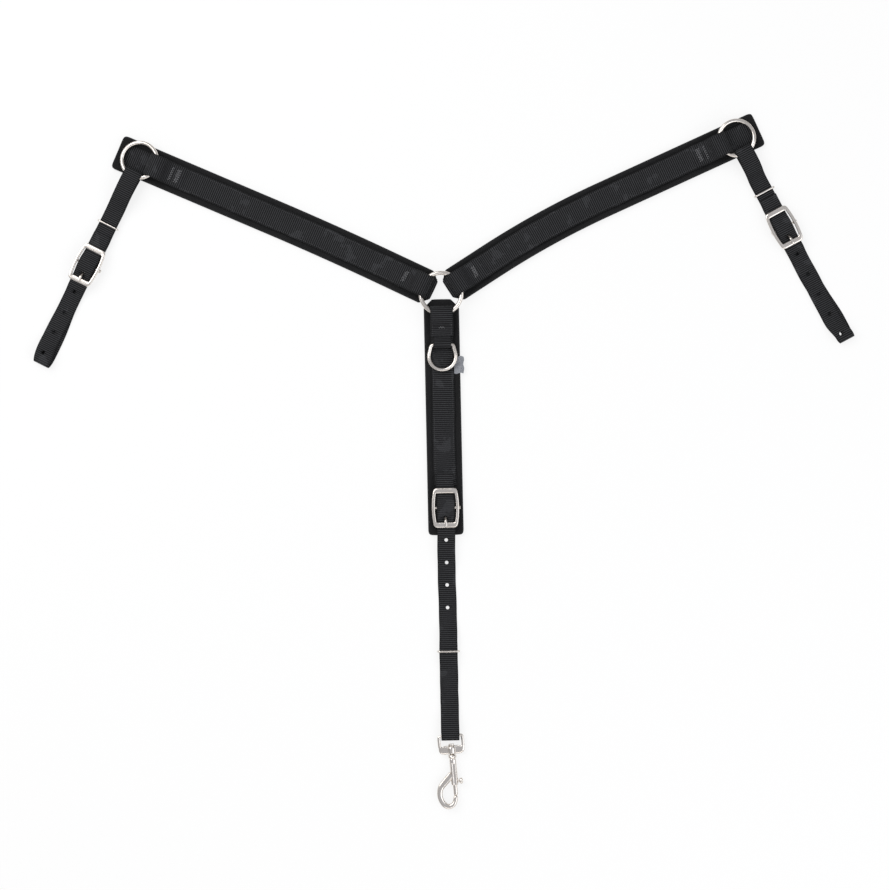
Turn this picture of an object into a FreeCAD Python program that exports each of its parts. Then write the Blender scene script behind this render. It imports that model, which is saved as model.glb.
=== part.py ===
import math
import os

import FreeCAD
import Part
from FreeCAD import Placement, Rotation, Vector

# Padded nylon breast collar (martingale), lying flat with its pads on the ground.
# Millimetres, +Z up, origin on the ground under the middle of the whole piece.
# Every strap is drawn in a frame of its own: x along the strap away from its ring, z up.

sizes = {
    # Webbing and pads.
    "web_thick": 2.0,
    "main_web_width": 32.0,
    "strap_width": 25.4,
    "pad_width": 50.0,
    "pad_thick": 7.0,
    "pad_tip_chamfer": 12.0,
    "pad_end_round": 6.0,
    "ply_gap": 0.5,
    "soft_gap": 0.3,
    # Rings.
    "centre_ring_side": -0.4,
    "centre_ring_forward": 236.2,
    "centre_ring_radius": 28.75,
    "centre_wire": 6.0,
    "outer_ring_radius": 24.6,
    "outer_wire": 5.6,
    "ring_clear": 0.4,
    # Arms.
    "left_arm_length": 464.0,
    "left_arm_heading": 154.8,
    "left_arm_bend": 2.2,
    "right_arm_length": 471.0,
    "right_arm_heading": 33.0,
    "right_arm_bend": -8.4,
    "arm_bend_start": 85.0,
    "arm_bend_length": 180.0,
    "pad_tip_inset": 11.0,
    "pad_past_ring": 35.5,
    "base_tip_inset": 13.0,
    "base_past_ring": 26.0,
    "loop_tail": 36.0,
    # Chest.
    "chest_heading": -88.8,
    "chest_pad_start": 7.5,
    "chest_pad_end": 341.0,
    "chest_loop_end": 59.5,
    "chest_web_end": 270.0,
    "label_start": 89.0,
    "label_length": 24.0,
    "label_reach": 30.5,
    "label_thick": 0.8,
    # Dee ring and its tab.
    "dee_tab_start": 50.0,
    "dee_bar_at": 72.6,
    "dee_wire": 5.0,
    "dee_radius": 18.2,
    "dee_drop": 12.0,
    "dee_tab_width": 25.4,
    # Buckles.
    "chest_buckle_at": 302.0,
    "buckle_length": 56.0,
    "buckle_end_width": 35.0,
    "buckle_mid_width": 38.0,
    "buckle_window": 40.8,
    "buckle_side": 4.2,
    "buckle_plate": 3.0,
    "buckle_bar": 4.0,
    "buckle_bar_past": 1.5,
    "tongue_thick": 3.0,
    "tongue_width": 3.6,
    "tail_length": 26.0,
    "free_end": 48.0,
    # Tugs.
    "left_tug_heading": 243.2,
    "left_tug_reach": 320.0,
    "left_buckle_at": 165.0,
    "left_keeper_at": 101.4,
    "right_tug_heading": -61.8,
    "right_tug_reach": 324.5,
    "right_buckle_at": 142.4,
    "right_keeper_at": 85.2,
    "tug_clear_of_pad": 46.0,
    "tug_loop_radius": 5.0,
    "hole_width": 5.0,
    "hole_pitch": 32.0,
    "first_hole": 42.0,
    # Keepers.
    "keeper_wire": 2.8,
    "keeper_play": 8.0,
    # Tie-down and snap.
    "strap_hinge_at": 354.0,
    "tie_hole_start": 45.6,
    "tie_keeper_at": 505.0,
    "snap_bar_at": 624.0,
    "snap_fold_slack": 2.6,
    "snap_level": 6.4,
    "snap_tilt": 4.3,
    "eye_width": 37.6,
    "eye_bar": 4.4,
    "eye_side": 4.0,
    "eye_window": 14.0,
    "eye_plate_end": 26.0,
    "eye_chamfer": 8.0,
    "hub_width": 11.0,
    "post_width": 5.0,
    "collar_start": 26.6,
    "collar_end": 32.0,
    "collar_width": 12.4,
    "shank_width": 10.0,
    "shank_end": 70.0,
    "hook_thick": 9.0,
    "hook_side": -11.2,
    "hook_along": 82.0,
    "hook_outer_half_width": 15.4,
    "hook_outer_half_length": 20.4,
    "hook_inner_half_width": 6.7,
    "hook_inner_half_length": 12.2,
    "hook_tip_at": 84.4,
    "bolt_width": 6.0,
    "bolt_travel": 11.0,
    "bolt_start": 52.0,
    "bore_start": 36.0,
    "knob_at": 64.7,
    "spring_wire": 0.8,
    "run_clearance": 0.05,
}

doc = FreeCAD.newDocument("Martingale")
sheet = doc.addObject("Spreadsheet::Sheet", "Sizes")
for row, (name, value) in enumerate(sizes.items(), start=1):
    sheet.set(f"A{row}", name)
    sheet.set(f"B{row}", str(value))
    sheet.setAlias(f"B{row}", name)
doc.recompute()


def size(name):
    return float(getattr(sheet, name))


WEB = size("web_thick")
HALF = WEB / 2
PAD_TOP = size("pad_thick")
BASE_TOP = PAD_TOP + WEB
PLY = WEB + size("ply_gap")
LEVEL = BASE_TOP + WEB + size("ring_clear") + size("centre_wire") / 2
pieces = []


class Course:
    # A line of straights and tangent arcs, walked step by step; band() gives the
    # closed outline of a strip of even width along it.
    def __init__(self, x, y, heading=0.0):
        self.place = Vector(x, y, 0)
        self.heading = math.radians(heading)
        self.steps = []

    def along(self):
        return Vector(math.cos(self.heading), math.sin(self.heading), 0)

    def left(self):
        return Vector(-math.sin(self.heading), math.cos(self.heading), 0)

    def line(self, length):
        start = self.place
        side = self.left()
        self.place = start + self.along() * length
        self.steps.append(("line", start, side, self.place, side, None))
        return self

    def turn(self, radius, degrees):
        start = self.place
        side = self.left()
        sign = 1 if degrees > 0 else -1
        centre = start + side * radius * sign
        half = self.heading + math.radians(degrees) / 2
        middle_side = Vector(-math.sin(half), math.cos(half), 0)
        self.heading += math.radians(degrees)
        self.place = centre - self.left() * radius * sign
        middle = centre - middle_side * radius * sign
        self.steps.append(("arc", start, side, self.place, self.left(), (middle, middle_side)))
        return self

    def rise(self, height, run):
        # An S of two equal arcs: height to the left of the heading over the run.
        degrees = math.degrees(2 * math.atan(abs(height) / run))
        radius = run / (2 * math.sin(math.radians(degrees)))
        sign = 1 if height > 0 else -1
        return self.turn(radius, sign * degrees).turn(radius, -sign * degrees)

    def line_to(self, x):
        return self.line((x - self.place.x) / math.cos(self.heading))

    def band(self, width):
        outline = []
        for offset in (width / 2, -width / 2):
            edges = []
            for kind, start, side, finish, last_side, middle in self.steps:
                a = start + side * offset
                b = finish + last_side * offset
                if kind == "line":
                    edges.append(Part.LineSegment(a, b))
                else:
                    edges.append(Part.Arc(a, middle[0] + middle[1] * offset, b))
            outline += edges
        first = self.steps[0]
        last = self.steps[-1]
        for point, side in ((first[1], first[2]), (last[3], last[4])):
            outline.append(Part.LineSegment(point + side * width / 2, point - side * width / 2))
        return outline


def polygon(points):
    corners = [Vector(x, y, 0) for x, y in points]
    return [Part.LineSegment(a, b) for a, b in zip(corners, corners[1:] + corners[:1])]


def circle(x, y, radius):
    return [Part.Circle(Vector(x, y, 0), Vector(0, 0, 1), radius)]


def rounded(half_width, low, high, radius):
    # A rectangle from -half_width to half_width and low to high with rounded corners.
    course = Course(0, low, 0).line(half_width - radius)
    course.turn(radius, 90).line(high - low - 2 * radius)
    course.turn(radius, 90).line(2 * (half_width - radius))
    course.turn(radius, 90).line(high - low - 2 * radius)
    course.turn(radius, 90).line(half_width - radius)
    edges = []
    for kind, start, _, finish, _, middle in course.steps:
        if kind == "line":
            edges.append(Part.LineSegment(start, finish))
        else:
            edges.append(Part.Arc(start, middle[0], finish))
    return edges


def new_body(label, place):
    body = doc.addObject("PartDesign::Body", label)
    body.Label = label
    body.Placement = place
    pieces.append(body)
    return body


def sketch(body, plane, outline, offset=Placement()):
    item = body.newObject("Sketcher::SketchObject", "Sketch")
    origin = next(f for f in body.Origin.OriginFeatures if f.Role == plane)
    item.AttachmentSupport = [(origin, "")]
    item.MapMode = "FlatFace"
    item.AttachmentOffset = offset
    for edge in outline:
        item.addGeometry(edge, False)
    return item


def plan(body, outline, height):
    # A sketch seen from above, at the given height.
    return sketch(body, "XY_Plane", outline, Placement(Vector(0, 0, height), Rotation()))


def profile(body, outline, place=Vector(), heading=0.0):
    # A sketch seen from the side, in the upright plane through place along heading.
    turn = Rotation(Vector(0, 1, 0), heading)
    return sketch(body, "XZ_Plane", outline, Placement(Vector(place.x, 0, -place.y), turn))


def section(body, outline, along):
    # A sketch across the strap, at the given distance along it.
    return sketch(body, "YZ_Plane", outline, Placement(Vector(0, 0, along), Rotation()))


def pad(body, item, length, middle=False):
    feature = body.newObject("PartDesign::Pad", "Pad")
    feature.Profile = item
    feature.setExpression("Length", f"Sizes.{length}" if length in sizes else length)
    if middle:
        feature.Midplane = True
    doc.recompute()
    return feature


def pocket(body, item, length, middle=False, up=False):
    before = body.Shape.Volume
    feature = body.newObject("PartDesign::Pocket", "Pocket")
    feature.Profile = item
    feature.setExpression("Length", length)
    if middle:
        feature.Midplane = True
    feature.Reversed = up
    doc.recompute()
    if body.Shape.Volume >= before - 0.01:
        raise ValueError(f"the pocket in {body.Label} cuts nothing")
    return feature


def dress(body, kind, amount, wanted, title):
    # A fillet or chamfer on the edges of the body's last solid that the test picks.
    base = body.Tip
    names = [f"Edge{i}" for i, edge in enumerate(base.Shape.Edges, start=1) if wanted(edge)]
    feature = body.newObject(f"PartDesign::{kind}", title)
    feature.Base = (base, names)
    feature.setExpression("Radius" if kind == "Fillet" else "Size", amount)
    doc.recompute()
    return feature


def upright(edge):
    ends = [v.Point for v in edge.Vertexes]
    return len(ends) == 2 and (ends[0] - ends[1]).cross(Vector(0, 0, 1)).Length < 1e-6


def sagitta(ring_size, wire, width):
    # How far a ring's inner side falls back over the width of the strap that it carries.
    inner = size(ring_size) - size(wire) / 2
    return inner - math.sqrt(inner**2 - (width / 2) ** 2)


def at(x, y, heading, height=0.0):
    return Placement(Vector(x, y, height), Rotation(Vector(0, 0, 1), heading))


def ahead(place, x, y=0.0, turn=0.0):
    # The frame at (x, y) of another frame, turned about its z.
    return place.multiply(Placement(Vector(x, y, 0), Rotation(Vector(0, 0, 1), turn)))


# ---- Rings ----
def ring(label, place, radius, wire):
    torus = doc.addObject("Part::Torus", label)
    torus.Label = label
    torus.setExpression("Radius1", f"Sizes.{radius}")
    torus.setExpression("Radius2", f"Sizes.{wire} / 2")
    torus.Placement = place.multiply(Placement(Vector(0, 0, LEVEL), Rotation()))
    pieces.append(torus)


# ---- Arms ----
def arm_course(side, start, finish):
    bend = size(f"{side}_arm_bend")
    bend_start = size("arm_bend_start")
    bend_length = size("arm_bend_length")
    course = Course(start, 0).line(bend_start - start)
    course.turn(bend_length / math.radians(abs(bend)), bend)
    return course.line(finish - bend_start - bend_length)


def ring_loop(which, run_level):
    # The sewn loop: tail under, round the ring's wire with room for it to lift, back over the
    # tail and down to the run. x is measured from the ring's middle.
    low = BASE_TOP + HALF
    radius = size(f"{which}_ring_radius")
    hollow = sagitta(f"{which}_ring_radius", f"{which}_wire", size("main_web_width"))
    small = LEVEL - low
    tail = radius + size("loop_tail")
    course = Course(tail, low, 180).line(size("loop_tail") + hollow)
    course.turn(small, -90).turn(small + hollow, -90).line(2)
    course.rise(low + PLY - course.place.y, 22)
    course.line_to(tail + 2).rise(run_level + HALF - course.place.y, 10).line(4)
    return course


def arm(side, place):
    length = size(f"{side}_arm_length")
    finish = length + size("pad_past_ring")

    pad_body = new_body(f"{side}_arm_pad", place)
    outline = arm_course(side, size("pad_tip_inset"), finish).band(size("pad_width"))
    pad(pad_body, plan(pad_body, outline, 0), "pad_thick")
    tip = size("pad_tip_inset")
    dress(pad_body, "Chamfer", "Sizes.pad_tip_chamfer",
          lambda e: upright(e) and e.CenterOfMass.x < tip + 1, "TipChamfer")
    dress(pad_body, "Fillet", "Sizes.pad_end_round",
          lambda e: upright(e) and e.CenterOfMass.x > length, "EndRound")

    base = new_body(f"{side}_arm_base_webbing", place)
    outline = arm_course(side, size("base_tip_inset"), length + size("base_past_ring"))
    pad(base, plan(base, outline.band(size("main_web_width")), PAD_TOP), "web_thick")

    web = new_body(f"{side}_arm_webbing", place)
    inner = ring_loop("centre", BASE_TOP)
    outer = ring_loop("outer", BASE_TOP)
    run = arm_course(side, inner.place.x - 2, length - outer.place.x + 2)
    pad(web, plan(web, run.band(size("main_web_width")), BASE_TOP), "web_thick")
    pad(web, profile(web, inner.band(WEB)), "main_web_width", True)
    end = arm_course(side, 0, length)
    heading = math.degrees(end.heading) + 180
    pad(web, profile(web, outer.band(WEB), end.place, heading), "main_web_width", True)
    return ahead(place, end.place.x, end.place.y, math.degrees(end.heading))


# ---- Centre-bar buckles ----
# Heights in a buckled stack above the level of the folded tail.
BAR_UP = WEB + size("soft_gap") + size("buckle_bar") / 2
FOLD_RADIUS = size("buckle_bar") / 2 + size("soft_gap") + HALF
FOLD_UP = BAR_UP + FOLD_RADIUS
UNDER_UP = 2 * PLY + HALF
OVER_UP = FOLD_UP + PLY
PLATE_UP = UNDER_UP + HALF + 1.0
DIP = FOLD_UP - PLY - HALF


def fold_over_bar(course, bar_at):
    # From the tail, round the centre bar and down onto the tail.
    course.line_to(bar_at).turn(FOLD_RADIUS, 180).line(2)
    return course.rise(DIP, 18)


def billet(course, bar_at):
    # Under the lower end bar, over the centre bar, under the upper end bar, to the free end.
    rise = OVER_UP - UNDER_UP
    course.line_to(bar_at + 20).rise(-rise, 18).line(4).rise(rise, 18)
    return course.line_to(bar_at - size("free_end"))


def slot_fold(body, bar_at, level):
    # The opening in the fold that lets the tongue sit on the bar.
    slot = polygon([(bar_at + x, y) for x, y in ((-6, -2.8), (7, -2.8), (7, 2.8), (-6, 2.8))])
    top = level + FOLD_UP + HALF + size("ply_gap") / 2
    pocket(body, plan(body, slot, top), f"{top - level + size('ply_gap')} mm")


def tongue_hole(body, bar_at, level):
    hole = polygon([(bar_at + x, y) for x, y in ((2, -2.5), (15.5, -2.5), (15.5, 2.5), (2, 2.5))])
    top = level + OVER_UP + PLY
    pocket(body, plan(body, hole, top), f"{OVER_UP - size('ply_gap')} mm")


def buckle(prefix, place, bar_at, level):
    here = ahead(place, bar_at)
    half_length = size("buckle_length") / 2
    half_window = size("buckle_window") / 2
    end_half = size("buckle_end_width") / 2
    mid_half = size("buckle_mid_width") / 2
    wall = size("buckle_side")

    frame = new_body(f"{prefix}_buckle_frame", here)
    edges = []
    outside = (half_length, end_half, mid_half)
    window = (half_window, end_half - wall, mid_half - wall)
    for x, end_y, mid_y in (outside, window):
        for sign in (1, -1):
            first = Vector(-x, sign * end_y, 0)
            bow = Vector(0, sign * mid_y, 0)
            last = Vector(x, sign * end_y, 0)
            edges.append(Part.Arc(first, bow, last))
            bar_end = Vector(sign * x, end_y, 0)
            edges.append(Part.LineSegment(Vector(sign * x, -end_y, 0), bar_end))
    pad(frame, plan(frame, edges, level + PLATE_UP), "buckle_plate")
    dress(frame, "Fillet", "4 mm",
          lambda e: upright(e) and abs(e.CenterOfMass.x) > half_window + 1, "Corners")
    for sign in (1, -1):
        low, high = sorted((sign * (mid_half - wall), sign * (mid_half - 0.6)))
        lug = polygon(((-4.5, low), (4.5, low), (4.5, high), (-4.5, high)))
        drop = BAR_UP - size("buckle_bar") / 2 - 1.0
        item = plan(frame, lug, level + drop)
        pad(frame, item, f"{PLATE_UP - drop + 1.0} mm")
    bore = circle(0, level + BAR_UP, size("buckle_bar") / 2 + size("run_clearance"))
    pocket(frame, profile(frame, bore), "Sizes.buckle_mid_width + 4", middle=True)

    bar = doc.addObject("Part::Cylinder", f"{prefix}_buckle_bar")
    bar.Label = f"{prefix}_buckle_bar"
    bar.setExpression("Radius", "Sizes.buckle_bar / 2")
    bar.setExpression("Height", "Sizes.buckle_mid_width + Sizes.buckle_bar_past - 0.6")
    start = Placement(Vector(0, -mid_half + 0.6, level + BAR_UP), Rotation(Vector(1, 0, 0), -90))
    bar.Placement = here.multiply(start)
    pieces.append(bar)

    tongue = new_body(f"{prefix}_buckle_tongue", here)
    thick = size("tongue_thick")
    eye_hole = size("buckle_bar") / 2 + 0.1
    eye = circle(0, level + BAR_UP, eye_hole + 1.4) + circle(0, level + BAR_UP, eye_hole)
    pad(tongue, profile(tongue, eye), "tongue_width", True)
    rest = PLATE_UP + size("buckle_plate") + size("soft_gap") + thick / 2
    flat_from = half_window - 1.0
    slope = math.atan2(rest - BAR_UP - 2.2, flat_from - 2.2)
    arm_line = Course(2.6, level + BAR_UP + 2.2, math.degrees(slope))
    length = (flat_from - 2.2) / math.cos(slope) - 1.0
    arm_line.line(length).turn(3.0, -math.degrees(slope)).line_to(half_length - 1.5)
    pad(tongue, profile(tongue, arm_line.band(thick)), "tongue_width", True)
    return here


# ---- Wire keepers ----
def keeper(label, place, along, top):
    wire = size("keeper_wire")
    half = size("strap_width") / 2 + 0.6
    body = new_body(label, ahead(place, along))
    inner_top = top + size("soft_gap")
    outline = rounded(half + wire, 0.0, inner_top + wire, 2.6) + rounded(half, wire, inner_top, 1.0)
    pad(body, section(body, outline, -wire / 2), "keeper_wire")
    dress(body, "Fillet", "0.9 mm", lambda e: abs(abs(e.CenterOfMass.x) - wire / 2) < 1e-4, "Round")


KEEPER_LOW = size("keeper_wire") + size("soft_gap")


# ---- Tugs ----
def tug(side, place):
    reach = size(f"{side}_tug_reach")
    bar_at = size(f"{side}_buckle_at")
    keeper_at = size(f"{side}_keeper_at")
    ring_radius = size("outer_ring_radius")
    around = size("outer_wire") / 2 + size("soft_gap") + HALF
    flat_at = keeper_at - size("keeper_play") - 4
    clear = size("tug_clear_of_pad")
    loop = size("tug_loop_radius")
    level = KEEPER_LOW

    course = Course(bar_at - size("tail_length"), level + HALF)
    fold_over_bar(course, bar_at)
    course.line_to(flat_at)
    over = LEVEL + around
    course.rise(course.place.y - over, flat_at - clear + 6)
    hollow = sagitta("outer_ring_radius", "outer_wire", size("strap_width"))
    course.line_to(ring_radius - hollow).turn(around, 180)
    course.line_to(clear).rise(level + HALF - course.place.y, flat_at - clear)
    course.line_to(keeper_at + size("keeper_play") + 4).rise(HALF - course.place.y, 16)
    course.line_to(reach - loop - HALF).turn(loop, 180)
    course.rise(course.place.y - PLY - HALF, 35).line_to(bar_at + 50)
    course.rise(course.place.y - level - UNDER_UP, 22)
    billet(course, bar_at)

    strap = new_body(f"{side}_tug_strap", place)
    pad(strap, profile(strap, course.band(WEB)), "strap_width", True)
    slot_fold(strap, bar_at, level)
    tongue_hole(strap, bar_at, level)
    deep = WEB + size("ply_gap") / 2
    count = int((reach - bar_at - size("first_hole") - 12) // size("hole_pitch")) + 1
    for index in range(count):
        x = bar_at + size("first_hole") + index * size("hole_pitch")
        through = side == "right" and index == count - 1
        low = -1.0 if through else deep
        hole = circle(x, 0, size("hole_width") / 2)
        pocket(strap, plan(strap, hole, low), "14 mm", up=True)

    buckle(f"{side}_tug", place, bar_at, level)
    keeper(f"{side}_tug_keeper", place, keeper_at, level + PLY + WEB)


# ---- Chest ----
def chest(place):
    width = size("main_web_width")
    pad_body = new_body("chest_pad", place)
    start = size("chest_pad_start")
    finish = size("chest_pad_end")
    outline = Course(start, 0).line(finish - start).band(size("pad_width"))
    pad(pad_body, plan(pad_body, outline, 0), "pad_thick")
    dress(pad_body, "Chamfer", "Sizes.pad_tip_chamfer",
          lambda e: upright(e) and e.CenterOfMass.x < start + 1, "TipChamfer")
    dress(pad_body, "Fillet", "Sizes.pad_end_round",
          lambda e: upright(e) and e.CenterOfMass.x > finish - 1, "EndRound")

    radius = size("centre_ring_radius")
    hollow = sagitta("centre_ring_radius", "centre_wire", width)
    low = BASE_TOP + HALF
    small = LEVEL - low
    end_level = BASE_TOP + PLY + WEB + size("ply_gap") + HALF
    course = Course(size("chest_loop_end"), end_level, 180).line(5)
    course.rise(end_level - LEVEL - small - hollow, 20)
    course.line_to(radius).turn(small + hollow, 90).turn(small, 90).line_to(radius + 8)
    course.rise(-WEB, 8).line_to(size("chest_web_end"))
    web = new_body("chest_webbing", place)
    pad(web, profile(web, course.band(WEB)), "main_web_width", True)

    tab = new_body("dee_tab", place)
    bar_at = size("dee_bar_at")
    fold = size("dee_wire") / 2 + size("soft_gap") + HALF
    course = Course(size("dee_tab_start"), BASE_TOP + HALF).line_to(bar_at).turn(fold, 180)
    course.rise(2 * fold - PLY, 12).line_to(size("dee_tab_start"))
    pad(tab, profile(tab, course.band(WEB)), "dee_tab_width", True)
    dee(ahead(place, bar_at), BASE_TOP + WEB + size("soft_gap") + size("dee_wire") / 2)

    label = new_body("label_tab", place)
    near = width / 2 + 0.3
    first = size("label_start")
    last = first + size("label_length")
    far = size("label_reach")
    corners = polygon(((first, near), (last, near), (last, far), (first, far)))
    pad(label, plan(label, corners, PAD_TOP), "label_thick")

    tab = new_body("chest_buckle_tab", place)
    bar_at = size("chest_buckle_at")
    web_end = size("chest_web_end")
    course = Course(web_end + 1, PAD_TOP + HALF)
    fold_over_bar(course, bar_at)
    course.line_to(bar_at - size("free_end") + 4)
    pad(tab, profile(tab, course.band(WEB)), "strap_width", True)
    slot_fold(tab, bar_at, PAD_TOP)
    buckle("chest", place, bar_at, PAD_TOP)


def dee(place, level):
    # A round wire swept along a closed dee: straight bar, two shoulders, one large arc.
    body = new_body("dee_ring", place)
    wire = size("dee_wire")
    radius = size("dee_radius")
    drop = size("dee_drop")
    half = size("dee_tab_width") / 2 + 2.6
    corner = 4.0
    lean = math.degrees(math.atan2(radius - half, drop))
    path = Course(0, 0, -90).line(half - corner * math.tan(math.radians(45 - lean / 2)))
    path.turn(corner, 90 - lean)
    run = (drop - path.place.x) / math.cos(path.heading)
    path.line(run)
    wide = abs(path.place.y)
    edges = []
    for kind, start, _, finish, _, middle in path.steps:
        mirrored = [Vector(p.x, -p.y, 0) for p in (start, finish)]
        if kind == "line":
            edges += [Part.LineSegment(start, finish), Part.LineSegment(*mirrored)]
        else:
            other = Vector(middle[0].x, -middle[0].y, 0)
            edges += [Part.Arc(start, middle[0], finish), Part.Arc(mirrored[0], other, mirrored[1])]
    bottom = Vector(drop + wide, 0, 0)
    edges.append(Part.Arc(Vector(drop, -wide, 0), bottom, Vector(drop, wide, 0)))
    spine = plan(body, edges, level)
    ring_face = profile(body, circle(0, level, wire / 2))
    sweep = body.newObject("PartDesign::AdditivePipe", "Sweep")
    sweep.Profile = ring_face
    sweep.Spine = spine
    doc.recompute()


# ---- Tie-down ----
def tie_down(place):
    bar_at = size("chest_buckle_at")
    hinge_at = size("strap_hinge_at")
    on_pad = PAD_TOP + size("soft_gap") + HALF

    upper = new_body("tie_down_billet", place)
    course = Course(hinge_at, on_pad, 180).line(4)
    course.rise(on_pad - PAD_TOP - UNDER_UP, 20)
    billet(course, bar_at)
    pad(upper, profile(upper, course.band(WEB)), "strap_width", True)
    tongue_hole(upper, bar_at, PAD_TOP)
    hole = circle(bar_at + size("tie_hole_start"), 0, size("hole_width") / 2)
    pocket(upper, plan(upper, hole, PAD_TOP), "8 mm", up=True)

    keeper_at = size("tie_keeper_at")
    play = size("keeper_play") + 4
    snap_at = size("snap_bar_at")
    fold = size("eye_bar") / 2 + size("soft_gap") + HALF
    lift = size("snap_level") - fold - HALF
    lower = new_body("tie_down_strap", place)
    course = Course(keeper_at - play - 2, KEEPER_LOW + HALF)
    course.line_to(keeper_at + play).rise(HALF - course.place.y, 18)
    course.line_to(snap_at - 28).rise(lift, 20)
    course.line_to(snap_at + size("snap_fold_slack")).turn(fold, 180).line(size("snap_fold_slack") + 8)
    course.rise(course.place.y - PLY - HALF, 34).line_to(keeper_at + play + 18)
    course.rise(-KEEPER_LOW, 18).line_to(keeper_at - play - 6)
    course.rise(course.place.y - HALF, 30).line_to(hinge_at + 52).rise(HALF - on_pad, 48)
    course.line_to(hinge_at)
    pad(lower, profile(lower, course.band(WEB)), "strap_width", True)
    for index in range(1, 4):
        x = bar_at + size("tie_hole_start") + index * size("hole_pitch")
        hole = circle(x, 0, size("hole_width") / 2)
        pocket(lower, plan(lower, hole, -1.0), "14 mm", up=True)
    keeper("tie_down_keeper", place, keeper_at, KEEPER_LOW + PLY + WEB)
    snap(ahead(place, snap_at, 0, size("snap_tilt")))


# ---- Bolt snap, in a frame with x along the snap and the left of x towards the knob ----
def snap(place):
    level = size("snap_level")
    bar = size("eye_bar")
    half = size("eye_width") / 2
    end = size("eye_plate_end")
    cut = size("eye_chamfer")
    post = size("post_width") / 2
    clearance = size("run_clearance")

    eye = new_body("snap_eye", place)
    outer = polygon(((-bar / 2, -half), (end - cut, -half), (end, cut - half), (end, half - cut),
                     (end - cut, half), (-bar / 2, half)))
    side = half - size("eye_side")
    window = size("eye_window")
    inner = polygon(((bar / 2, -side), (window, -side), (window, side), (bar / 2, side)))
    pad(eye, plan(eye, outer + inner, level - bar / 2), "eye_bar")
    hub = circle(0, level, size("hub_width") / 2)
    pad(eye, section(eye, hub, window + 1), f"{end - window - 1} mm")
    bore = circle(0, level, post + clearance)
    pocket(eye, section(eye, bore, end + 1), f"{end - window + 3} mm")
    dress(eye, "Fillet", "Sizes.eye_bar * 0.4",
          lambda e: abs(e.CenterOfMass.x) < bar / 2 + 0.1 and abs(e.CenterOfMass.y) < 0.1, "BarRound")

    body = new_body("snap_body", place)
    collar_start = size("collar_start")
    collar_end = size("collar_end")
    shank_end = size("shank_end")
    head_at = window - 2.6
    shank = circle(0, level, size("shank_width") / 2)
    pad(body, section(body, shank, collar_end - 0.5), f"{shank_end - collar_end + 0.5} mm")
    collar = circle(0, level, size("collar_width") / 2)
    pad(body, section(body, collar, collar_start), f"{collar_end - collar_start} mm")
    pad(body, section(body, circle(0, level, post), head_at), f"{collar_start - head_at + 0.5} mm")
    pad(body, section(body, circle(0, level, post + 1.4), head_at), "2.2 mm")
    low = level - size("hook_thick") / 2
    along = size("hook_along")
    across = size("hook_side")
    centre = Vector(along, across, 0)
    ellipse = Part.Ellipse(centre, size("hook_outer_half_length"), size("hook_outer_half_width"))
    pad(body, plan(body, [ellipse], low), "hook_thick")
    top = along - size("hook_outer_half_length")
    neck = polygon(((52, -3.0), (66, -20.5), (top + 8, -8), (shank_end, -2), (shank_end, 2), (54, 2)))
    pad(body, plan(body, neck, low), "hook_thick")
    inner = Part.Ellipse(centre, size("hook_inner_half_length"), size("hook_inner_half_width"))
    pocket(body, plan(body, [inner], low - 1), "Sizes.hook_thick + 2", up=True)
    tip_at = size("hook_tip_at")
    mouth = polygon(((shank_end, -5.5), (tip_at, -5.5), (tip_at, 9), (shank_end, 9)))
    pocket(body, plan(body, mouth, low - 1), "Sizes.hook_thick + 2", up=True)
    bolt = size("bolt_width") / 2
    bore = circle(0, level, bolt + clearance)
    pocket(body, section(body, bore, shank_end + 1), f"{shank_end + 1 - size('bore_start')} mm")
    knob_at = size("knob_at")
    slot_end = knob_at + 1.8
    slot_start = knob_at - size("bolt_travel") - 1.8
    slot = polygon(((slot_start, 0), (slot_end, 0), (slot_end, 8), (slot_start, 8)))
    pocket(body, plan(body, slot, level - 1.8), "3.6 mm", up=True)

    rod = new_body("snap_bolt", place)
    start = size("bolt_start")
    tip = size("hook_tip_at") - size("soft_gap")
    pad(rod, section(rod, circle(0, level, bolt), start), f"{tip - start} mm")
    stem = circle(knob_at, level, 1.5)
    item = profile(rod, stem, Vector(0, 7.5, 0))
    pad(rod, item, "7.5 mm")
    knob = polygon(((knob_at - 5, 7.4), (knob_at + 5, 7.4), (knob_at + 5, 11.6), (knob_at - 5, 11.6)))
    pad(rod, plan(rod, knob, level - 4), "8 mm")
    dress(rod, "Fillet", "1.5 mm", lambda e: upright(e) and e.CenterOfMass.y > 7, "KnobRound")

    coil(place, size("bore_start") + 0.2, start - 0.2, bolt - 0.3, level)


def coil(place, start, finish, outer, level):
    wire = size("spring_wire")
    radius = outer - wire / 2
    length = finish - start - wire
    helix = Part.makeHelix(length / 6, length, radius)
    ring_wire = Part.Wire(Part.makeCircle(wire / 2, Vector(radius, 0, 0), Vector(0, 1, 0)))
    shape = Part.Wire(helix.Edges).makePipeShell([ring_wire], True, True)
    feature = doc.addObject("Part::Feature", "snap_spring")
    feature.Label = "snap_spring"
    feature.Shape = shape
    lay = Placement(Vector(start + wire / 2, 0, level), Rotation(Vector(0, 1, 0), 90))
    feature.Placement = place.multiply(lay)
    pieces.append(feature)


centre = (size("centre_ring_side"), size("centre_ring_forward"))
ring("centre_ring", at(*centre, 0), "centre_ring_radius", "centre_wire")
chest_frame = at(*centre, size("chest_heading"))
chest(chest_frame)
tie_down(chest_frame)
frames = {"chest": chest_frame}
for side in ("left", "right"):
    arm_frame = at(*centre, size(f"{side}_arm_heading"))
    outer_frame = arm(side, arm_frame)
    ring(f"{side}_outer_ring", outer_frame, "outer_ring_radius", "outer_wire")
    tug_frame = at(outer_frame.Base.x, outer_frame.Base.y, size(f"{side}_tug_heading"))
    tug(side, tug_frame)
    frames[side] = (arm_frame, outer_frame, tug_frame)

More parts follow.
